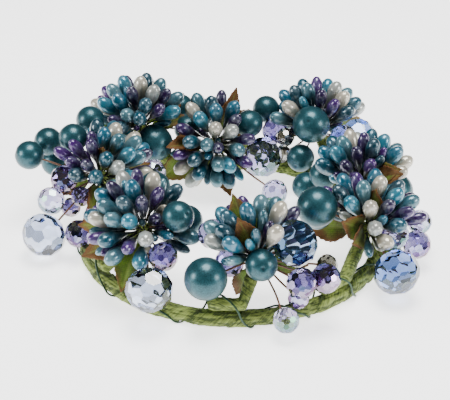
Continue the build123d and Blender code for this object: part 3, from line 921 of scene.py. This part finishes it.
# The kind of acrylic of each spray's crystals, in the order of their node
CRYSTAL_KINDS = {
    1: ("clear",),
    2: ("blue", "lilac", "smoky", "smoky"),
    3: ("clear", "clear", "lilac"),
    4: ("lilac",),
    5: ("lilac", "clear", "pale blue", "lilac", "violet", "violet", "clear"),
    6: ("violet", "pale blue"),
    7: ("lilac", "lilac", "deep blue", "lilac", "violet", "clear", "lilac", "smoky"),
    8: ("lilac", "blue", "clear", "clear"),
}


class CANDLERING_OT_crystals(bpy.types.Operator):
    """Cut the crystals and tint them"""
    bl_idname = "candlering.crystals"
    bl_label = "Cut crystals"

    def execute(self, context):
        kinds = list(ACRYLICS)
        finishes = [cut_acrylic(f"{kind} cut acrylic", *ACRYLICS[kind]) for kind in kinds]
        ends = wire_ends()
        for number in SPRAYS:
            node = f"spray_{number}_crystals"
            bm = bmesh.new()
            facet = bm.faces.layers.float.new("facet")
            for place, (points, _, _) in enumerate(spans(node)):
                centre = middle(points)
                radius = bead_radius(points, centre)
                cut = LARGE_CUT if radius > LARGE_FROM else ROUND_CUT if radius > ROUND_FROM else LITTLE_CUT
                kind = CRYSTAL_KINDS[number][place % len(CRYSTAL_KINDS[number])]
                fresh = add_mesh(bm, cut_stone(*cut, radius), on_wire(centre, ends))
                for count, face in enumerate(faces_of(fresh)):
                    face.material_index = kinds.index(kind)
                    # painted reflection: a scattered value for each facet picks its painted tint and whether
                    # it is painted dark
                    face[facet] = (count + place) * GOLDEN_ANGLE % 1.0
            piece(f"cut_crystals_{number}", bm, finishes, node, smooth=False)
        return {"FINISHED"}


# The stamens

STAMEN_TINTS = {
    "blue": ("#0E4A5C", "#26748A", "#0A3A49", "#4C7883", "#185E76", "#356370"),
    "violet": ("#300E4E", "#401862", "#220A3C"),
    "ivory": ("#B4AD9C", "#9FA29C", "#C0B8A4"),
}
# A stamen's head is this much slimmer than the corners of the CAD's, which has only five sides
HEAD_SHARE = 0.92
# The outline of a stamen's head, from its tip down: the share of its length, and of its radius
HEAD_OUTLINE = ((0.018, 0.34), (0.06, 0.6), (0.13, 0.83), (0.23, 0.98), (0.34, 1.0), (0.48, 0.88),
                (0.64, 0.66), (0.82, 0.42))
HEAD_SIDES = 8
# A head is this long, but no more than this share of its stamen
HEAD_LENGTH = 15 * MM
HEAD_MOST = 0.85
NECK_RADIUS = 0.33 * MM
THREAD_RADIUS = 0.3 * MM
THREAD_ROUGHNESS = 0.8
# Painted shade: the head is darker towards the thread, deep in the bunch. Its colour has this share of its
# brightness at the thread, and all of it from FULL_FROM of the head's length on. Below BARE_BELOW of that
# length the thread is bare.
SHADE_AT_THREAD = 0.08
FULL_FROM = 1 / 1.7
BARE_BELOW = 0.01
# The short stamens that fill a bunch: the directions tried, their lengths with their heads' radii, their
# colours, and the widest angle to the nearest long stamen, in degrees
FILL_PLACES = 260
FILL_SIZES = ((18 * MM, 2.0 * MM), (15.5 * MM, 1.9 * MM), (13 * MM, 1.8 * MM), (11 * MM, 1.6 * MM),
              (9.5 * MM, 1.4 * MM))
FILL_COLOURS = ("blue", "violet", "blue", "blue", "ivory", "blue", "violet")
FILL_WIDEST = 24
# Heads stay this share of the sum of their radii apart. The candle and each leaf keep a room of their own.
FILL_CLOSENESS = 0.96
CANDLE_ROOM = 28 * MM
LEAF_ROOM = 2.4 * MM


def stamens_of(number):
    """A spray's stamens in the CAD, each with its colour, its root, its tip and its head's radius."""
    found = []
    for kind in STAMEN_TINTS:
        for points, start, end in spans(f"spray_{number}_{kind}_stamens"):
            where = middle(points)
            if (where - start).length < (where - end).length:
                start, end = end, start
            found.append((kind, start, end, HEAD_SHARE * off_axis(points, start, end)))
    return found


def bunch_head(outer):
    """The point that all stamens of a bunch point away from, and how far from it they start."""
    total = Matrix(((0, 0, 0),) * 3)
    pull = Vector()
    for _, start, end, _ in outer:
        along = (end - start).normalized()
        flat = Matrix.Identity(3) - Matrix([along * share for share in along])
        total += flat
        pull += flat @ start
    head = total.inverted() @ pull
    return head, (outer[0][1] - head).length


def balls_along(start, end, wide):
    """A stamen's head as a row of balls, each a place and a radius."""
    shares = ((0.1, 0.85), (0.25, 1.0), (0.42, 0.75), (0.6, 0.45))
    return [(end.lerp(start, down), wide * out) for down, out in shares]


def leaf_balls(start, end):
    """The room of a leaf as a row of balls."""
    parts = 8
    return [(start.lerp(end, part / parts), LEAF_ROOM) for part in range(parts + 1)]


def room_taken(number, outer):
    """Balls where no short stamen can go: a bunch's long ones and side leaves, and all beads and leaves."""
    taken = [ball for _, start, end, wide in outer for ball in balls_along(start, end, wide)]
    for spray in SPRAYS:
        for kind in ("pearls", "crystals"):
            taken += [(middle(points), off_axis(points, start, end))
                      for points, start, end in spans(f"spray_{spray}_{kind}")]
        for _, start, end in spans(f"spray_{spray}_leaves"):
            taken += leaf_balls(start, end)
    for start, end, _ in side_leaves(number, outer):
        taken += leaf_balls(start, end)
    return taken


def inner_stamens(number, outer):
    """Short stamens that fill a bunch between its long ones, each where nothing else takes its place."""
    taken = room_taken(number, outer)
    head, reach = bunch_head(outer)
    low, high = CAD_BOX
    added = []
    for place in range(FILL_PLACES):
        lean = math.acos(1 - 2 * (place + 0.5) / FILL_PLACES)
        out = leaning(place * GOLDEN_ANGLE, lean)
        beside = min(outer, key=lambda one: (one[2] - one[1]).angle(out))
        if math.degrees((beside[2] - beside[1]).angle(out)) > FILL_WIDEST:
            continue
        for full, wide in FILL_SIZES:
            root, tip = head + out * reach, head + out * (reach + full)
            inside = all(low[axis] + wide < tip[axis] < high[axis] - wide for axis in range(3))
            if not inside or math.hypot(tip.x, tip.y) < CANDLE_ROOM + wide:
                continue
            balls = balls_along(root, tip, wide)
            if all((ball[0] - one[0]).length > FILL_CLOSENESS * (ball[1] + one[1])
                   for ball in balls for one in taken):
                taken += balls
                added.append((FILL_COLOURS[len(added) % len(FILL_COLOURS)], root, tip, wide))
                break
    return added


class CANDLERING_OT_stamens(bpy.types.Operator):
    """Dip the stamens: a long drop on a thread"""
    bl_idname = "candlering.stamens"
    bl_label = "Stamens"

    def execute(self, context):
        finishes = {kind: stamen_coat(f"pearlised {kind} stamen lacquer") for kind in STAMEN_TINTS}
        # painted shade: the thread is given a near-black olive that stands for the shade between the stamens
        thread = lacquered_wire("cotton thread in painted shade", linear("#161C0C"), THREAD_ROUGHNESS)
        count = 0
        for number in SPRAYS:
            outer = stamens_of(number)
            bunch = outer + inner_stamens(number, outer)
            for kind, codes in STAMEN_TINTS.items():
                bm = bmesh.new()
                tint = bm.verts.layers.float_color.new("tint")
                for _, start, end, wide in [one for one in bunch if one[0] == kind]:
                    full = (end - start).length
                    drop = min(HEAD_LENGTH, full * HEAD_MOST)
                    profile = [(0, full)]
                    profile += [(wide * out, full - drop * down) for down, out in HEAD_OUTLINE]
                    profile += [(NECK_RADIUS, full - drop), (THREAD_RADIUS, 0), (0, 0)]
                    place = stand(start, end - start, UPRIGHT)
                    back = place.inverted()
                    code = Vector(linear(codes[count % len(codes)]))
                    bare = set()
                    for vertex in add_mesh(bm, lathe(profile, HEAD_SIDES), place):
                        # painted shade: the head is darker towards the thread, deep in the bunch
                        share = ((back @ vertex.co).z - full + drop) / drop
                        dipped = min(1.0, max(0.0, share / FULL_FROM)) ** 1.5
                        vertex[tint] = code * (SHADE_AT_THREAD + (1 - SHADE_AT_THREAD) * dipped)
                        if share < BARE_BELOW:
                            bare.add(vertex)
                    for face in faces_of(bare):
                        face.material_index = 1 if bare.issuperset(face.verts) else 0
                    count += 1
                node = f"spray_{number}_{kind}_stamens"
                piece(f"{kind}_drops_{number}", bm, [finishes[kind], thread], node)
        return {"FINISHED"}


# The leaves

# How far autumn has gone on one leaf after another
AUTUMN_SHARES = (0.35, -0.1, 0.15, 0.5, 0.0, 0.25)
# How far each spray's leaves are turned about their midribs, in degrees, in the order of their node
LEAF_TURNS = {1: (15,), 2: (15, 0, -15), 3: (-30, 15, 0), 4: (-30, 0, 30), 5: (15, -30, -15), 6: (60, 15),
              7: (0, -15, -15), 8: (0, 30, -75)}
# The leaves are a little shorter than the CAD's, so that a turned tip stays inside its box
LEAF_SHARE = 0.985
# A leaf's stalk end is the one whose points, within this share of its length, keep nearer to its axis
STALK_END = 0.22
# Further leaves of a spray, which the solids leave out: the angle round the ring's axis, the lean from
# upright and the twist, in degrees, and the share of the full length
SIDE_LEAVES = {1: ((312, 51, 60, 1.0),), 3: ((216, 75, -15, 1.0), (36, 27, 90, 1.0)), 4: ((0, 75, 30, 0.82),),
               5: ((264, 99, -60, 1.0), (24, 87, 90, 0.82), (288, 27, -45, 0.82)), 6: ((192, 111, -60, 1.0),),
               7: ((144, 27, -60, 1.0),), 8: ((252, 75, -75, 0.82), (300, 15, -75, 0.82))}
SIDE_LEAF_LENGTH = 23 * MM
SIDE_LEAF_SLIMNESS = 0.239
# A leaf's outline: its stalk's share of its length, its stalk's half width, and its teeth
STALK_SHARE = 0.11
STALK_HALF_WIDTH = 0.45 * MM
TEETH = 9
TOOTH_DEPTH = 0.09
TOOTHED = (0.04, 0.97)
# Its relief: the slope of its two halves, the place and strength of its arch, its veins and its ripple
LEAF_SLOPE = math.tan(math.radians(14))
ARCH_TOP = 0.35
ARCH_STRENGTH = 2.2
VEINS = 6.0
VEINED = (0.08, 0.95)
VEIN_SLANT = 0.32
VEIN_WIDTH = 0.13
RIB_WIDTH = 0.1
VEIN_DEPTH = 0.12 * MM
RIPPLE = 0.25 * MM


def leaf_layers(bm):
    """The vertex layers and the UV map of a mesh of leaves."""
    return [bm.verts.layers.float.new(name) for name in LEAF_LAYERS] + [bm.loops.layers.uv.new("UVMap")]


def thicken(made, sizes):
    thick = made.modifiers.new("cloth thickness", "SOLIDIFY")
    thick.thickness = sizes.leaf_thickness
    thick.offset = 0.0


def leaf_blade(bm, layers, matrix, full, half_width, sizes, autumn):
    """One toothed leaf: a grid drawn into the outline, folded along the midrib and pressed with veins."""
    along_layer, edge_layer, vein_layer, autumn_layer, uv = layers
    stalk = full * STALK_SHARE
    grid = bmesh.ops.create_grid(bm, x_segments=4 * TEETH + 6, y_segments=12, size=1.0)["verts"]
    for vertex in grid:
        # u runs along the leaf, v across it, and share along its blade
        u = (vertex.co.x + 1) / 2
        v = vertex.co.y
        share = min(1.0, max(0.0, (u * full - stalk) / (full - stalk)))
        width = half_width * math.sin(math.pi * share ** 0.8) if 0 < share < 1 else 0.0
        tooth = (share * TEETH) % 1.0 - 0.5 if TOOTHED[0] < share < TOOTHED[1] else 0.0
        jag = TOOTH_DEPTH * half_width * tooth
        width = max(width + jag * abs(v) ** 4, STALK_HALF_WIDTH * (1 - share * 0.9))
        across = v * width
        arch = -sizes.leaf_arch * (share - ARCH_TOP) ** 2 * ARCH_STRENGTH
        branch = ((share - VEIN_SLANT * abs(v)) * VEINS) % 1.0
        vein = max(0.0, 1 - abs(branch - 0.5) / VEIN_WIDTH) if VEINED[0] < share < VEINED[1] else 0.0
        rib = max(0.0, 1 - abs(v) / RIB_WIDTH)
        ripple = RIPPLE * math.sin(share * 17 + v * 2.5) * abs(v) ** 2
        height = abs(across) * LEAF_SLOPE + arch + ripple - VEIN_DEPTH * max(vein, rib)
        vertex.co = Vector((across, height, u * full))
        vertex[along_layer] = share
        vertex[edge_layer] = abs(v) ** 2
        vertex[vein_layer] = 0.55 * max(vein * (1 - abs(v)), rib)
        vertex[autumn_layer] = autumn
    for face in faces_of(grid):
        for loop in face.loops:
            loop[uv].uv = (loop.vert.co.x, loop.vert.co.z)
    bmesh.ops.transform(bm, matrix=matrix, verts=grid)


def side_leaves(number, outer):
    """Where a spray's further leaves stand: the foot, the tip and the direction of the face of each."""
    head, reach = bunch_head(outer)
    found = []
    for around, lean, twist, size in SIDE_LEAVES.get(number, ()):
        out = leaning(math.radians(around), math.radians(lean))
        up = out.cross(UPRIGHT.cross(out).normalized())
        up = Matrix.Rotation(math.radians(twist), 3, out) @ up
        found.append((head + out * reach, head + out * (reach + size * SIDE_LEAF_LENGTH), up))
    return found


class CANDLERING_OT_leaves(bpy.types.Operator):
    """Stamp the cloth leaves, with teeth, fold and veins"""
    bl_idname = "candlering.leaves"
    bl_label = "Leaves"

    def execute(self, context):
        sizes = context.scene.candle_ring_sizes
        finish = leaf_cloth(context.scene.candle_ring_colours, sizes)
        count = 0
        more = bmesh.new()
        more_layers = leaf_layers(more)
        for number in SPRAYS:
            autumn = AUTUMN_SHARES[number % len(AUTUMN_SHARES)]
            for start, end, up in side_leaves(number, stamens_of(number)):
                full = (end - start).length
                place = stand(start, end - start, up)
                leaf_blade(more, more_layers, place, full, SIDE_LEAF_SLIMNESS * full, sizes, autumn)
            node = f"spray_{number}_leaves"
            bm = bmesh.new()
            layers = leaf_layers(bm)
            for (points, start, end), turn in zip(spans(node), LEAF_TURNS[number]):
                near = STALK_END * (end - start).length
                slim = [off_axis([point for point in points if (point - foot).length < near], start, end)
                        for foot in (start, end)]
                if slim[0] > slim[1]:
                    start, end = end, start
                along = (end - start).normalized()
                lift = middle(points) - start
                up = (lift - along * lift.dot(along)).normalized()
                up = Matrix.Rotation(math.radians(turn), 3, along) @ up
                leaf_blade(bm, layers, stand(start, along, up), LEAF_SHARE * (end - start).length,
                           off_axis(points, start, end), sizes, AUTUMN_SHARES[count % len(AUTUMN_SHARES)])
                count += 1
            thicken(piece(f"toothed_leaves_{number}", bm, finish, node), sizes)
        thicken(piece("side_leaves", more, finish, None), sizes)
        return {"FINISHED"}


# The stage, in metres: half the floor's width, the room's light, and each softbox's name, place, width and
# power. The camera's place and aim were fitted to the outline of the ring in the photograph.
FLOOR_HALF = 2.5
ROOM_LIGHT = 0.09
SOFTBOXES = (
    ("overhead softbox", (0.03, 0.05, 0.75), 0.45, 9.0),
    ("left softbox", (-0.75, -0.22, 0.32), 0.32, 5.0),
    ("right softbox", (0.72, -0.32, 0.30), 0.30, 4.0),
)
CAMERA_PLACE = (0, -0.4664, 0.2950)
CAMERA_AIM = (-0.00325, 0, 0.0185)
LENS_MM = 107.04
SENSOR_MM = 36.0


def aim_at(made, target):
    """Puts a lamp or a camera in the scene, turned towards a point."""
    made.rotation_euler = (Vector(target) - made.location).to_track_quat("-Z", "Y").to_euler()
    bpy.context.scene.collection.objects.link(made)


class CANDLERING_OT_stage(bpy.types.Operator):
    """Set the floor, the soft lights and the camera"""
    bl_idname = "candlering.stage"
    bl_label = "Stage"

    def execute(self, context):
        scene = context.scene
        bm = bmesh.new()
        bmesh.ops.create_grid(bm, x_segments=8, y_segments=8, size=FLOOR_HALF)
        floor = bpy.data.objects.new("pale_floor", mesh_of("pale_floor", bm))
        scene.collection.objects.link(floor)
        floor.data.materials.append(white_paper())
        world = bpy.data.worlds.new("soft room")
        world.use_nodes = True
        world.node_tree.nodes["Background"].inputs["Color"].default_value = linear("#FFFFFF")
        world.node_tree.nodes["Background"].inputs["Strength"].default_value = ROOM_LIGHT
        scene.world = world
        for name, place, size, power in SOFTBOXES:
            lamp = bpy.data.lights.new(name, "AREA")
            lamp.shape = "DISK"
            lamp.size = size
            lamp.energy = power
            lit = bpy.data.objects.new(name, lamp)
            lit.location = place
            aim_at(lit, (0, 0, 0))
        view = bpy.data.cameras.new("photograph's view")
        view.lens = LENS_MM
        view.sensor_width = SENSOR_MM
        camera = bpy.data.objects.new("photograph's view", view)
        camera.location = CAMERA_PLACE
        aim_at(camera, CAMERA_AIM)
        scene.camera = camera
        return {"FINISHED"}


# The add-on

PIECES = (
    CANDLERING_OT_hoop,
    CANDLERING_OT_wrap,
    CANDLERING_OT_binding,
    CANDLERING_OT_stems,
    CANDLERING_OT_picks,
    CANDLERING_OT_pearls,
    CANDLERING_OT_crystals,
    CANDLERING_OT_leaves,
    CANDLERING_OT_stamens,
    CANDLERING_OT_stage,
)


class CANDLERING_PT_pieces(bpy.types.Panel):
    """The pieces of the candle ring, in the order in which they are made"""
    bl_idname = "CANDLERING_PT_pieces"
    bl_label = "Candle ring"
    bl_space_type = "VIEW_3D"
    bl_region_type = "UI"
    bl_category = "Candle ring"

    def draw(self, context):
        column = self.layout.column()
        for one in PIECES:
            column.operator(one.bl_idname)
        for group in (context.scene.candle_ring_sizes, context.scene.candle_ring_colours):
            for name in type(group).__annotations__:
                column.prop(group, name)


CLASSES = (CandleRingSizes, CandleRingColours) + PIECES + (CANDLERING_PT_pieces,)


def register():
    for one in CLASSES:
        bpy.utils.register_class(one)
    bpy.types.Scene.candle_ring_sizes = PointerProperty(type=CandleRingSizes)
    bpy.types.Scene.candle_ring_colours = PointerProperty(type=CandleRingColours)


def unregister():
    del bpy.types.Scene.candle_ring_colours
    del bpy.types.Scene.candle_ring_sizes
    for one in reversed(CLASSES):
        bpy.utils.unregister_class(one)


def main():
    register()
    for one in PIECES:
        group, name = one.bl_idname.split(".")
        getattr(getattr(bpy.ops, group), name)()


if __name__ == "__main__":
    main()
